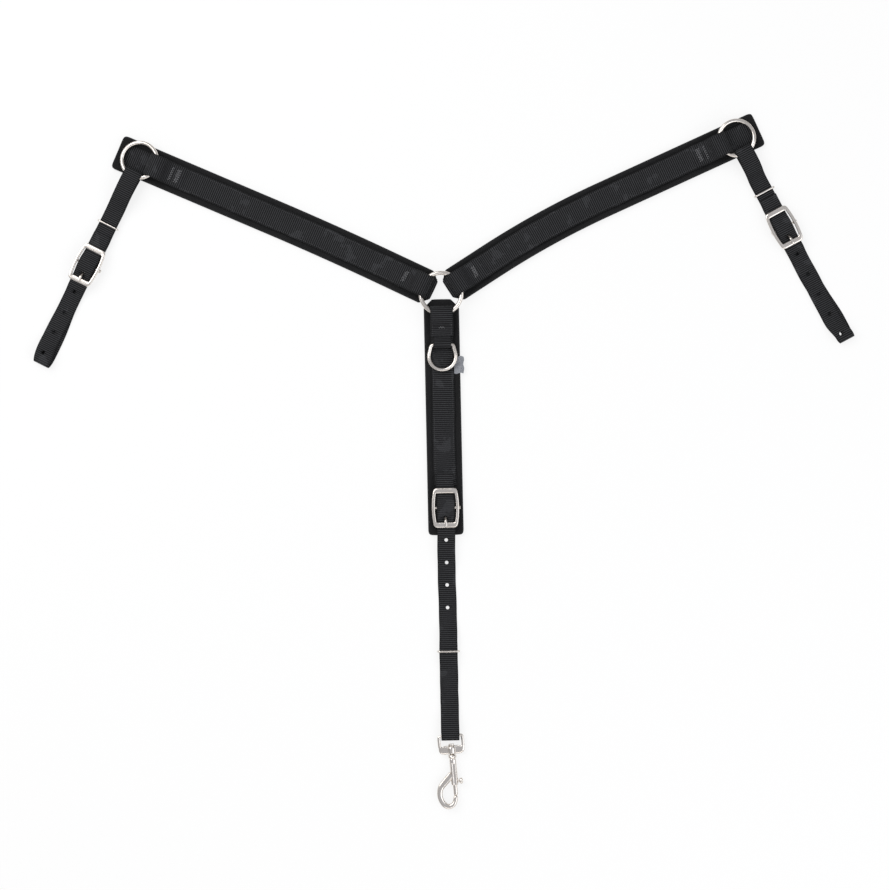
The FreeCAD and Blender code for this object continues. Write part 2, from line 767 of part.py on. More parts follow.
doc.recompute()
for item in doc.Objects:
    if "Invalid" in item.State or "Error" in item.State:
        owner = [parent.Label for parent in item.InList if parent.Label in {p.Label for p in pieces}]
        raise ValueError(f"{item.Name} of {owner} did not rebuild")
for piece in pieces:
    shape = piece.Shape
    if shape.isNull() or not shape.isValid() or len(shape.Solids) != 1:
        raise ValueError(f"{piece.Label} is not one valid solid")

os.makedirs("parts", exist_ok=True)
for piece in pieces:
    piece.Shape.exportStep(f"parts/{piece.Label}.step")
    box = piece.Shape.BoundBox
    print(f"{piece.Label}: {piece.Shape.Volume:.0f} mm3, z {box.ZMin:.2f} to {box.ZMax:.2f}")
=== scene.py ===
import math
import random

import bmesh
import bpy
from mathutils import Matrix, Vector


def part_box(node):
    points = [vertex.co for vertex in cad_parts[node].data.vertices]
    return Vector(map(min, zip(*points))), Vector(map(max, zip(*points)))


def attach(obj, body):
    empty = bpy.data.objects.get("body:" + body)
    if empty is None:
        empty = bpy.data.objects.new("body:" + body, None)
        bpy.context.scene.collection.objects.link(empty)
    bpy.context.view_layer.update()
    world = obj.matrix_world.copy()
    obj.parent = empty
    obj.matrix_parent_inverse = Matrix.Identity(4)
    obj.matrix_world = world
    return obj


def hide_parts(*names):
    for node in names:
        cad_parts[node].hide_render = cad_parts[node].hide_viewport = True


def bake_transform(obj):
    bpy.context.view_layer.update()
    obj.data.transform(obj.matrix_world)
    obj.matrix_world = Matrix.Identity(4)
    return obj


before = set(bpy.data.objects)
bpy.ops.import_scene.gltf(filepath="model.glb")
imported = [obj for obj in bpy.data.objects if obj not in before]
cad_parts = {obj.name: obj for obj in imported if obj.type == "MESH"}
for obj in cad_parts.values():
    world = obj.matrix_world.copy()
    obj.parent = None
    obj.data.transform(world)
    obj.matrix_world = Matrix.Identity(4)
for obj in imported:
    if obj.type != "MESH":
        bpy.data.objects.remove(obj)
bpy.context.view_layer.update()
random.seed(7)
mm = 0.001

# Lengths below are in millimetres; each strap is walked in a frame of its own, x along the
# strap away from its ring and z up, and its mesh is set in place at the end.
stack = {
    "wide": 32.0,
    "narrow": 25.4,
    "web": 2.0,
    "plyGap": 0.5,
    "softGap": 0.3,
    "padTop": 7.0,
    "ringLevel": 14.4,
    "barWidth": 4.0,
    "keeperWire": 2.8,
}
half = stack["web"] / 2
ply = stack["web"] + stack["plyGap"]
baseTop = stack["padTop"] + stack["web"]
foldRadius = stack["barWidth"] / 2 + stack["softGap"] + half
barUp = stack["web"] + stack["softGap"] + stack["barWidth"] / 2
foldUp = barUp + foldRadius
underUp = 2 * ply + half
overUp = foldUp + ply
plateUp = underUp + half + 1.0
keeperLow = stack["keeperWire"] + stack["softGap"]


# ---- Walking a section along a line ----
class Walk:
    # The end face of a bmesh is carried on by spins, so a straight run is a spin of no angle.
    # Every ring of corners keeps its station, and shape() sets each corner, known by its number,
    # by its place across the strap, its height and its distance along.
    def __init__(self, start, heading=0.0, width=25.4, thick=2.0, edge=0.7, rounds=2, cuts=0,
                 step=0.7):
        self.mesh = bmesh.new()
        self.step = step
        self.reach = 0.0
        self.place = Vector(start)
        self.basis = Matrix.Rotation(math.radians(-heading), 3, "Y")
        bmesh.ops.create_grid(self.mesh, x_segments=1, y_segments=1, size=0.5)
        bmesh.ops.scale(self.mesh, vec=(width, thick, 1), verts=self.mesh.verts)
        bmesh.ops.bevel(self.mesh, geom=self.mesh.verts[:], offset=edge, segments=rounds,
                        profile=0.5, affect="VERTICES", material=-1)
        if cuts:
            wide = [e for e in self.mesh.edges if e.calc_length() > width - 2 * edge - 0.1]
            bmesh.ops.delete(self.mesh, geom=self.mesh.faces[:], context="FACES_ONLY")
            bmesh.ops.subdivide_edges(self.mesh, edges=wide, cuts=cuts)
            bmesh.ops.edgeloop_fill(self.mesh, edges=self.mesh.edges[:])
        self.mesh = self.mesh.copy()
        number = self.mesh.verts.layers.int.new("corner")
        for index, vert in enumerate(self.mesh.verts):
            vert[number] = index
        self.corners = [(v.co.x, v.co.y) for v in self.mesh.verts]
        self.end = self.mesh.faces[:]
        self.stations = [(self.place.copy(), self.basis.copy(), 0.0)]

    def faced(self, basis):
        # A new heading for a walk that hasn't started.
        self.basis = basis
        self.stations[0] = (self.place.copy(), basis.copy(), 0.0)
        return self

    @property
    def ahead(self):
        return self.basis.col[0]

    @property
    def side(self):
        return self.basis.col[1]

    @property
    def up(self):
        return self.basis.col[2]

    def carry(self, length, radius=0.0, degrees=0.0, axis=None, toCentre=None, step=None):
        count = max(1, round(length / (step or self.step)))
        angle = math.radians(degrees)
        centre = self.place + toCentre * radius if toCentre else self.place
        move = Vector() if toCentre else self.ahead * (length / count)
        before = self.end if self.reach > 0 else []
        made = bmesh.ops.spin(self.mesh, geom=self.end, cent=centre, axis=axis or (0, 0, 1),
                              dvec=move, angle=angle, steps=count, use_merge=False)
        self.end = [g for g in made["geom_last"] if isinstance(g, bmesh.types.BMFace)]
        inside = [face for face in before if face.is_valid]
        bmesh.ops.delete(self.mesh, geom=inside, context="FACES_ONLY")
        for _ in range(count):
            if toCentre:
                turned = Matrix.Rotation(angle / count, 3, axis)
                self.place = centre + turned @ (self.place - centre)
                self.basis = turned @ self.basis
            else:
                self.place = self.place + move
            self.reach += length / count
            self.stations.append((self.place.copy(), self.basis.copy(), self.reach))
        return self

    def line(self, length, step=None):
        return self.carry(length, step=step)

    def lineTo(self, x, step=None):
        return self.carry((x - self.place.x) / self.ahead.x, step=step)

    def turn(self, radius, degrees, step=None):
        sign = 1 if degrees > 0 else -1
        return self.carry(abs(radius * math.radians(degrees)), radius, degrees,
                          -self.side, self.up * sign, step)

    def bend(self, radius, degrees, step=None):
        sign = 1 if degrees > 0 else -1
        return self.carry(abs(radius * math.radians(degrees)), radius, degrees,
                          self.up.copy(), self.side * sign, step)

    def rise(self, height, run):
        degrees = math.degrees(2 * math.atan(abs(height) / run))
        radius = run / (2 * math.sin(math.radians(degrees)))
        sign = 1 if height > 0 else -1
        return self.turn(radius, sign * degrees).turn(radius, -sign * degrees)

    def rings(self):
        # Each corner of the mesh with its station, its place across and its height.
        number = self.mesh.verts.layers.int["corner"]
        count = len(self.corners)
        self.mesh.verts.index_update()
        for vert in self.mesh.verts:
            yield vert, self.stations[vert.index // count], self.corners[vert[number]]

    def shape(self, rule):
        for vert, (place, basis, reach), (across, height) in self.rings():
            wide, tall = rule(across, height, reach, basis)
            vert.co = place + basis.col[1] * wide + basis.col[2] * tall
        return self

    def spot(self, reach, across=0.0, lift=0.0):
        place, basis, _ = min(self.stations, key=lambda s: abs(s[2] - reach))
        return place + basis.col[1] * across + basis.col[2] * lift, basis

    def lay(self):
        # The weave follows the strap: u across it, v along it, both in millimetres.
        weave = self.mesh.loops.layers.uv.new("weave")
        for vert, (_, _, reach), (across, _) in self.rings():
            for loop in vert.link_loops:
                loop[weave].uv = (across, reach)

    def close(self):
        # Joins the last ring of corners to the first, for a closed ring of metal.
        caps = [f for f in self.mesh.faces if len(f.verts) == len(self.corners)]
        bmesh.ops.delete(self.mesh, geom=caps, context="FACES_ONLY")
        bmesh.ops.remove_doubles(self.mesh, verts=self.mesh.verts, dist=0.004)
        return self


def placed(name, mesh, place, finish, smooth=True):
    # Turns a bmesh in millimetres into a piece in its place in metres.
    number = mesh.verts.layers.int.get("corner")
    if number:
        mesh.verts.layers.int.remove(number)
    bmesh.ops.recalc_face_normals(mesh, faces=mesh.faces)
    if mesh.calc_volume(signed=True) < 0:
        bmesh.ops.reverse_faces(mesh, faces=mesh.faces)
    bmesh.ops.transform(mesh, matrix=place @ Matrix.Scale(mm, 4), verts=mesh.verts)
    for face in mesh.faces:
        face.smooth = smooth and len(face.verts) < 9
    data = bpy.data.meshes.new(name)
    mesh.to_mesh(data)
    mesh.free()
    data.materials.append(finish)
    piece = bpy.data.objects.new(name, data)
    bpy.context.scene.collection.objects.link(piece)
    return piece


def applied(piece):
    # Bakes a piece's modifiers into its own mesh.
    graph = bpy.context.evaluated_depsgraph_get()
    data = bpy.data.meshes.new_from_object(piece.evaluated_get(graph), depsgraph=graph)
    piece.modifiers.clear()
    piece.data = data
    return piece


def smoothed(piece):
    smooth = piece.modifiers.new("smooth", "SUBSURF")
    smooth.levels = 1
    smooth.render_levels = 1


# ---- Finishes ----
class Value:
    # A socket that takes part in sums; each sum adds a Math node.
    def __init__(self, finish, socket):
        self.finish = finish
        self.socket = socket

    def sum(self, operation, first, second=0.0):
        made = self.finish.node("ShaderNodeMath", {"operation": operation}, {0: first, 1: second})
        return Value(self.finish, made.outputs[0])

    def __add__(self, other):
        return self.sum("ADD", self, other)

    __radd__ = __add__

    def __sub__(self, other):
        return self.sum("SUBTRACT", self, other)

    def __rsub__(self, other):
        return self.sum("SUBTRACT", other, self)

    def __mul__(self, other):
        return self.sum("MULTIPLY", self, other)

    __rmul__ = __mul__

    def __truediv__(self, other):
        return self.sum("DIVIDE", self, other)

    def __pow__(self, other):
        return self.sum("POWER", self, other)

    def sine(self):
        return self.sum("SINE", self)

    def size(self):
        return self.sum("ABSOLUTE", self)

    def above(self, other):
        return self.sum("GREATER_THAN", self, other)


class Finish:
    def __init__(self, name):
        self.material = bpy.data.materials.new(name)
        self.material.use_nodes = True
        self.tree = self.material.node_tree
        self.tree.nodes.clear()

    def node(self, kind, settings=None, inputs=None):
        made = self.tree.nodes.new(kind)
        for name, value in (settings or {}).items():
            if name == "stops":
                for stop, (at, colour) in zip(made.color_ramp.elements, value):
                    stop.position = at
                    stop.color = colour
            else:
                setattr(made, name, value)
        for name, value in (inputs or {}).items():
            socket = made.inputs[name]
            value = value.socket if isinstance(value, Value) else value
            if isinstance(value, bpy.types.NodeSocket):
                self.tree.links.new(value, socket)
            else:
                socket.default_value = value
        return made

    def number(self, kind, output, settings=None, inputs=None):
        return Value(self, self.node(kind, settings, inputs).outputs[output])

    def here(self):
        return self.node("ShaderNodeTexCoord").outputs["Object"]

    def noise(self, scale, detail=3.0, vector=None):
        return self.number("ShaderNodeTexNoise", "Fac", None,
                           {"Vector": vector or self.here(), "Scale": scale, "Detail": detail})

    def between(self, factor, first, second):
        made = self.node("ShaderNodeMix", {"data_type": "RGBA"}, {0: factor, 6: first, 7: second})
        return made.outputs[2]

    def bump(self, height, depth):
        return self.node("ShaderNodeBump", None,
                         {"Height": height, "Distance": depth, "Strength": 1.0}).outputs[0]

    def surface(self, **inputs):
        named = {key.replace("_", " "): value for key, value in inputs.items()}
        shader = self.node("ShaderNodeBsdfPrincipled", None, named)
        self.node("ShaderNodeOutputMaterial", None, {"Surface": shader.outputs[0]})
        return self.material


webbingLook = {
    "ribPitch": 2.8,
    "ribDepth": 0.2,
    "yarn": 0.95,
    # The crest colour is a painted highlight on the rib tops, and the valley colour is painted
    # shade between them.
    "crestHighlight": (0.050, 0.051, 0.056, 1),
    "valley": (0.0012, 0.0012, 0.0015, 1),
    "worn": (0.070, 0.072, 0.078, 1),
    "selvedge": 1.6,
}


def webbingFinish(name, width):
    look = webbingLook
    paint = Finish(name)
    parts = paint.node("ShaderNodeSeparateXYZ", None, {
        0: paint.node("ShaderNodeUVMap", {"uv_map": "weave"}).outputs[0]})
    across = Value(paint, parts.outputs[0])
    along = Value(paint, parts.outputs[1])
    wave = along * (2 * math.pi / look["ribPitch"])
    rib = (wave.sine() * 0.5 + 0.5) ** 2.4
    yarns = (across * (2 * math.pi / look["yarn"]) + wave * 0.5).sine() * 0.5 + 0.5
    patch = paint.noise(45.0, 4.0)
    fuzz = paint.noise(900.0, 2.0)
    edge = across.size().above(width / 2 - look["selvedge"])
    # Base colour runs from painted shade in the rib valleys to a painted highlight on the crests.
    # The painted highlight is halved along the selvedge, and random worn fuzz patches lie over it.
    lit = rib * (0.45 + yarns * 0.35 + patch * 0.4) * (1 - edge * 0.5)
    ribLightAndShade = paint.between(lit, look["valley"], look["crestHighlight"])
    worn = paint.between((patch.above(0.62) * fuzz) * 0.35, ribLightAndShade, look["worn"])
    height = rib * 0.55 + yarns * 0.25 + fuzz * 0.2
    return paint.surface(Base_Color=worn, Roughness=0.58 + fuzz * 0.3,
                         Normal=paint.bump(height, 0.00018), Sheen_Weight=0.05,
                         Sheen_Roughness=0.4, Specular_IOR_Level=0.2)


def fabricFinish(name, dark, light, thread=1500.0):
    paint = Finish(name)
    here = paint.here()
    parts = paint.node("ShaderNodeSeparateXYZ", None, {0: here})
    first = Value(paint, parts.outputs[0])
    second = Value(paint, parts.outputs[1])
    knit = ((first + second) * thread * 3.0).sine() * ((first - second) * thread * 3.0).sine()
    broad = paint.noise(28.0, 5.0)
    fine = paint.noise(700.0, 3.0)
    colour = paint.between(broad * 0.7 + fine * 0.3, dark, light)
    height = knit * 0.35 + fine * 0.4 + broad * 0.5
    return paint.surface(Base_Color=colour, Roughness=0.78 + fine * 0.2,
                         Normal=paint.bump(height, 0.00025), Sheen_Weight=0.1,
                         Sheen_Roughness=0.5, Specular_IOR_Level=0.18)


def metalFinish(name, pale, warm, rough):
    paint = Finish(name)
    cloud = paint.noise(60.0, 1.0)
    fleck = paint.noise(600.0, 1.0)
    stretched = paint.node("ShaderNodeMapping", None,
                           {"Vector": paint.here(), "Scale": (1.0, 0.12, 1.0)}).outputs[0]
    hair = paint.noise(900.0, 1.0, stretched)
    colour = paint.between(cloud, pale, warm)
    return paint.surface(Base_Color=colour, Metallic=1.0,
                         Roughness=rough + cloud * 0.06 + hair * 0.05,
                         Normal=paint.bump(cloud * 0.8 + fleck * 0.1 + hair * 0.1, 0.00001))


def threadFinish(name, dark, light):
    paint = Finish(name)
    ply = paint.noise(1600.0, 2.0)
    return paint.surface(Base_Color=paint.between(ply, dark, light), Roughness=0.5 + ply * 0.3,
                         Normal=paint.bump(ply, 0.00008), Sheen_Weight=0.2)


webbing = webbingFinish("webbing", stack["wide"])
strapWebbing = webbingFinish("strapWebbing", stack["narrow"])
padFabric = fabricFinish("padFabric", (0.0035, 0.0035, 0.004, 1), (0.014, 0.014, 0.015, 1))
labelFabric = fabricFinish("labelFabric", (0.16, 0.17, 0.19, 1), (0.36, 0.37, 0.40, 1), 1100.0)
nickel = metalFinish("nickel", (0.80, 0.77, 0.74, 1), (0.70, 0.64, 0.58, 1), 0.14)
steel = metalFinish("springSteel", (0.56, 0.56, 0.57, 1), (0.42, 0.41, 0.40, 1), 0.28)
blackThread = threadFinish("blackThread", (0.01, 0.01, 0.012, 1), (0.05, 0.05, 0.055, 1))
greyThread = threadFinish("greyThread", (0.14, 0.14, 0.15, 1), (0.34, 0.34, 0.35, 1))
print("finishes made")


# ---- Frames of the straps ----
headings = {"chest": -88.8, "leftArm": 154.8, "rightArm": 33.0, "leftTug": 243.2,
            "rightTug": -61.8, "snapTilt": 4.3}


def middle(node):
    low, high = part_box(node)
    return (low + high) / 2


def strapFrame(node, heading):
    ringAt = middle(node)
    return (Matrix.Translation((ringAt.x, ringAt.y, 0))
            @ Matrix.Rotation(math.radians(heading), 4, "Z"))


chestFrame = strapFrame("centre_ring", headings["chest"])
armFrames = {side: strapFrame("centre_ring", headings[side + "Arm"])
             for side in ("left", "right")}
tugFrames = {side: strapFrame(side + "_outer_ring", headings[side + "Tug"])
             for side in ("left", "right")}


def ribs(across, height, reach, basis):
    # Cross ribs, and the slight sway that a soft strap never lies without.
    wave = math.sin(2 * math.pi * reach / webbingLook["ribPitch"])
    squeeze = webbingLook["ribDepth"] * (1 - wave) / 2
    sway = 0.3 * math.sin(reach * 0.045) + 0.15 * math.sin(reach * 0.13 + 1)
    return across + sway, height - math.copysign(squeeze, height)


def eased(value):
    value = min(1.0, max(0.0, value))
    return value * value * (3 - 2 * value)


def webbingPiece(name, walk, place, finish, body, *nodes, rule=ribs):
    walk.shape(rule)
    walk.lay()
    piece = placed(name, walk.mesh, place, finish)
    if nodes:
        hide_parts(*nodes)
    if body:
        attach(piece, body)
    return piece


def ringHollow(radius, wire, width):
    inner = radius - wire / 2
    return inner - math.sqrt(inner**2 - (width / 2) ** 2)


# ---- Stitching ----
def stitch(mesh, walk, reach, across, face, size, slant=0.0):
    # One lozenge of thread lying on the strap, sunk a little into it.
    at, basis = walk.spot(reach, across, face * (half - 0.05))
    turned = basis.to_4x4() @ Matrix.Rotation(slant, 4, "Z")
    scaled = Matrix.Diagonal((size[0] / 2, size[1] / 2, size[2] / 2, 1))
    bmesh.ops.create_icosphere(mesh, subdivisions=1, radius=1.0,
                               matrix=Matrix.Translation(at) @ turned @ scaled)


thread = {"row": (2.3, 0.75, 0.55), "tack": (2.6, 0.7, 0.6), "tackPitch": 1.6,
          "tackSlant": 0.55, "tackSway": 0.55}


def stitchRow(mesh, walk, start, finish, across, face, pitch=3.4):
    count = int((finish - start) // pitch)
    for index in range(count):
        reach = start + (index + 0.5) * pitch + random.uniform(-0.15, 0.15)
        stitch(mesh, walk, reach, across + random.uniform(-0.12, 0.12), face, thread["row"])


def barTack(mesh, walk, reach, face, width, rows=2, slant=0.0):
    # Zigzag threads side by side across the strap.
    for row in range(rows):
        count = int(width // thread["tackPitch"])
        for index in range(count):
            across = (index - (count - 1) / 2) * thread["tackPitch"]
            way = 1 if index % 2 else -1
            along = reach + row * thread["tack"][0] + way * thread["tackSway"] + across * slant
            stitch(mesh, walk, along, across, face, thread["tack"], way * thread["tackSlant"])


def threadPiece(name, mesh, place, finish, body):
    piece = placed(name, mesh, place, finish)
    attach(piece, body)
    return piece


# ---- Camera, floor and light ----
view = {"across": 0.0045, "forward": 0.0226, "tall": 890 * 0.00141, "lens": 85.0}


def camera():
    data = bpy.data.cameras.new("camera")
    data.lens = view["lens"]
    data.clip_end = 50.0
    eye = bpy.data.objects.new("camera", data)
    distance = view["tall"] * view["lens"] / data.sensor_width
    eye.location = (view["across"], view["forward"], distance + 0.01)
    bpy.context.scene.collection.objects.link(eye)
    bpy.context.scene.camera = eye


def softLight(name, at, power, size, tint):
    data = bpy.data.lights.new(name, "AREA")
    data.energy = power
    data.shape = "RECTANGLE"
    data.size, data.size_y = size
    data.color = tint
    lamp = bpy.data.objects.new(name, data)
    lamp.location = at
    lamp.rotation_euler = (-Vector(at)).to_track_quat("-Z", "Y").to_euler()
    bpy.context.scene.collection.objects.link(lamp)


def studio():
    scene = bpy.context.scene
    scene.view_settings.view_transform = "Standard"
    world = bpy.data.worlds.new("studio")
    world.use_nodes = True
    scene.world = world
    tree = world.node_tree
    ray = tree.nodes.new("ShaderNodeNewGeometry")
    parts = tree.nodes.new("ShaderNodeSeparateXYZ")
    ramp = tree.nodes.new("ShaderNodeValToRGB")
    ramp.color_ramp.elements[0].position = 0.02
    ramp.color_ramp.elements[0].color = (0.42, 0.40, 0.38, 1)
    ramp.color_ramp.elements[1].position = 0.75
    ramp.color_ramp.elements[1].color = (0.95, 0.96, 1.0, 1)
    flip = tree.nodes.new("ShaderNodeMath")
    flip.operation = "ABSOLUTE"
    tree.links.new(ray.outputs["Normal"], parts.inputs[0])
    tree.links.new(parts.outputs[2], flip.inputs[0])
    tree.links.new(flip.outputs[0], ramp.inputs[0])
    tree.links.new(ramp.outputs[0], tree.nodes["Background"].inputs["Color"])
    tree.nodes["Background"].inputs["Strength"].default_value = 0.55
    softLight("key", (-1.5, 1.3, 2.2), 52.0, (2.8, 2.0), (1.0, 0.99, 0.97))
    softLight("fill", (1.9, -0.7, 2.0), 26.0, (2.6, 2.0), (0.96, 0.98, 1.0))
    softLight("rim", (0.2, -2.4, 1.5), 14.0, (2.6, 1.0), (1.0, 0.97, 0.93))


def floorPiece():
    mesh = bmesh.new()
    bmesh.ops.create_grid(mesh, x_segments=1, y_segments=1, size=4.0)
    bmesh.ops.translate(mesh, vec=(0, 0, -0.0004), verts=mesh.verts)
    data = bpy.data.meshes.new("floor")
    mesh.to_mesh(data)
    mesh.free()
    floor = bpy.data.objects.new("floor", data)
    bpy.context.scene.collection.objects.link(floor)
    paint = Finish("floor")
    path = paint.node("ShaderNodeLightPath")
    seenRay, glossyRay, throughRay = [Value(paint, path.outputs[f"Is {kind} Ray"])
                               for kind in ("Camera", "Glossy", "Transmission")]
    seen = seenRay + glossyRay + throughRay
    shade = 0.8 * seen
    matt = paint.node("ShaderNodeBsdfDiffuse", None, {"Color": (0.9, 0.9, 0.9, 1)})
    glow = paint.node("ShaderNodeEmission", None, {"Color": (1, 1, 1, 1), "Strength": 1.0})
    mixed = paint.node("ShaderNodeMixShader", None,
                       {0: shade, 1: matt.outputs[0], 2: glow.outputs[0]})
    paint.node("ShaderNodeOutputMaterial", None, {"Surface": mixed.outputs[0]})
    data.materials.append(paint.material)


camera()
studio()
floorPiece()
print("camera, light and floor set")


# ---- Arms ----
arms = {
    "left": {"length": 464.0, "bend": 2.2},
    "right": {"length": 471.0, "bend": -8.4},
    "bendStart": 85.0,
    "bendLength": 180.0,
    "padTipInset": 11.0,
    "padPastRing": 35.5,
    "baseTipInset": 13.0,
    "basePastRing": 26.0,
    "loopTail": 36.0,
    "centreRing": (28.75, 6.0),
    "outerRing": (24.6, 5.6),
    "padWidth": 50.0,
    "tipChamfer": 12.0,
    "endRound": 6.0,
    "roll": 3.2,
    "rowAcross": 13.6,
    "foldRun": 22.0,
    "stepRun": 10.0,
}


def armRun(walk, side, finish):
    bend = arms[side]["bend"]
    walk.lineTo(arms["bendStart"])
    walk.bend(arms["bendLength"] / math.radians(abs(bend)), bend)
    return walk.line(finish - arms["bendStart"] - arms["bendLength"])


def armWebbing(side):
    place = armFrames[side]
    body = side + "_arm"
    low = baseTop + half
    small = stack["ringLevel"] - low
    inHollow = ringHollow(*arms["centreRing"], stack["wide"])
    outHollow = ringHollow(*arms["outerRing"], stack["wide"])
    inner, outer = arms["centreRing"][0], arms["outerRing"][0]
    tail, foldRun, stepRun = arms["loopTail"], arms["foldRun"], arms["stepRun"]
    walk = Walk((inner + tail, 0, low), 180, stack["wide"])
    walk.line(tail + inHollow).turn(small, -90).turn(small + inHollow, -90).line(2)
    walk.rise(low + ply - walk.place.z, foldRun).lineTo(inner + tail + 2).rise(-ply, stepRun)
    marks = {"firstTack": walk.reach - foldRun}
    armRun(walk, side, arms[side]["length"] - outer - tail - 12)
    marks["lastTack"] = walk.reach + 10
    walk.rise(ply, stepRun).line(14).rise(2 * small + outHollow - ply, foldRun).line(2)
    walk.turn(small + outHollow, -90).turn(small, -90).line(tail + outHollow)
    marks["rowStart"] = marks["firstTack"] + 12
    marks["rowEnd"] = marks["lastTack"] - 4
    rows = bmesh.new()
    for across in (-arms["rowAcross"], arms["rowAcross"]):
        stitchRow(rows, walk, marks["rowStart"], marks["rowEnd"], across, 1)
    tacks = bmesh.new()
    barTack(tacks, walk, marks["firstTack"], 1, 17.0, 2, 0.12)
    barTack(tacks, walk, marks["lastTack"] + 4, 1, 20.0, 2)
    barTack(tacks, walk, marks["lastTack"] + 15, 1, 20.0, 1)
    webbingPiece(side + "ArmWebbing", walk, place, webbing, body, body + "_webbing")
    threadPiece(side + "ArmRows", rows, place, blackThread, body)
    threadPiece(side + "ArmTacks", tacks, place, greyThread, body)

    base = Walk((arms["baseTipInset"], 0, stack["padTop"] + half), 0, stack["wide"])
    armRun(base, side, arms[side]["length"] + arms["basePastRing"])
    webbingPiece(side + "ArmBase", base, place, webbing, body, body + "_base_webbing")


for side in ("left", "right"):
    armWebbing(side)
print("arm webbing walked")


# ---- Pads ----
pads = {
    "crown": 1.5,
    "valley": 0.5,
    "seamAt": 16.8,
    "thick": 7.0,
    "step": 3.0,
    "cuts": 15,
    "cap": 1.3,
    "pressure": 4.0,
    "stretch": 20,
    "stiff": 0.4,
    "frames": 20,
    "endStep": 0.8,
    "fill": 0.7,
}


def padWalk(start):
    return Walk((start, 0, pads["thick"] / 2), 0, arms["padWidth"], pads["thick"], arms["roll"], 4,
                pads["cuts"], pads["step"])


def padShape(walk, tipFirst, roundLast):
    # Chamfered tip, rounded far corners, rolled ends, and a crown either side of the webbing.
    total = walk.reach
    widest = arms["padWidth"] / 2
    roll = arms["roll"]

    def rule(across, height, reach, basis):
        fromEnd = min(reach, total - reach)
        limit = widest
        if reach < tipFirst:
            limit = widest - (tipFirst - reach)
        if total - reach < roundLast:
            gone = roundLast - (total - reach)
            limit = widest - (roundLast - math.sqrt(max(0.0, roundLast**2 - gone**2)))
        wide = across * limit / widest
        thin = 1.0
        if fromEnd < roll:
            thin = max(0.12, math.sqrt(1 - (1 - fromEnd / roll) ** 2))
        tall = height * thin
        if height > 0:
            beyond = abs(wide) - pads["seamAt"]
            if beyond > 0:
                hump = math.sin(math.pi * min(1.0, beyond / (widest - pads["seamAt"])))
                tall += pads["crown"] * 0.45 * hump * thin
            tall -= pads["valley"] * math.exp(-((abs(wide) - pads["seamAt"]) / 1.4) ** 2) * thin
        return wide, tall

    walk.shape(rule)


def puff(piece, held):
    # Fills the pad: its fabric is blown up a little between the seams that hold it.
    start = [v.co.copy() for v in piece.data.vertices]
    grip = piece.vertex_groups.new(name="held")
    grip.add(held, 1.0, "REPLACE")
    cloth = piece.modifiers.new("fill", "CLOTH")
    cloth.settings.use_pressure = True
    cloth.settings.uniform_pressure_force = pads["pressure"]
    cloth.settings.vertex_group_mass = "held"
    cloth.settings.tension_stiffness = pads["stretch"]
    cloth.settings.bending_stiffness = pads["stiff"]
    cloth.settings.effector_weights.gravity = 0
    cloth.point_cache.frame_start = 1
    cloth.point_cache.frame_end = pads["frames"]
    scene = bpy.context.scene
    for step in range(1, pads["frames"] + 1):
        scene.frame_set(step)
    applied(piece)
    scene.frame_set(1)
    for corner, first in zip(piece.data.vertices, start):
        moved = corner.co - first
        if moved.length > pads["cap"] * mm:
            corner.co = first + moved.normalized() * pads["cap"] * mm


def padPiece(name, walk, place, body, node):
    # Corners under the webbing and against the ground are held, the rest may swell.
    held = []
    for vert, _, (across, height) in walk.rings():
        under = height > 0 and abs(across) < pads["seamAt"] + 0.8
        if under or height < -pads["thick"] / 2 + 0.2:
            held.append(vert.index)
    walk.lay()
    piece = placed(name, walk.mesh, place, padFabric)
    puff(piece, held)
    for corner in piece.data.vertices:
        corner.co.z = max(corner.co.z, 0.0)
    smoothed(piece)
    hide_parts(node)
    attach(piece, body)
    return piece


for side in ("left", "right"):
    walk = padWalk(arms["padTipInset"])
    walk.line(arms["roll"], pads["endStep"])
    armRun(walk, side, arms[side]["length"] + arms["padPastRing"] - arms["roll"])
    walk.line(arms["roll"], pads["endStep"])
    padShape(walk, arms["tipChamfer"], arms["endRound"])
    padPiece(side + "ArmPad", walk, armFrames[side], side + "_arm", side + "_arm_pad")

chest = {"padStart": 7.5, "padEnd": 341.0, "loopEnd": 59.5, "webEnd": 270.0, "deeTabStart": 50.0,
         "deeBarAt": 72.6, "deeWire": 5.0, "buckleAt": 302.0, "tail": 26.0, "freeEnd": 48.0,
         "rowAcross": 13.4, "rowPitch": 2.9}
walk = padWalk(chest["padStart"])
walk.line(arms["roll"], pads["endStep"]).lineTo(chest["padEnd"] - arms["roll"])
walk.line(arms["roll"], pads["endStep"])
padShape(walk, arms["tipChamfer"], arms["endRound"])
padPiece("chestPad", walk, chestFrame, "chest", "chest_pad")
print("pads filled")


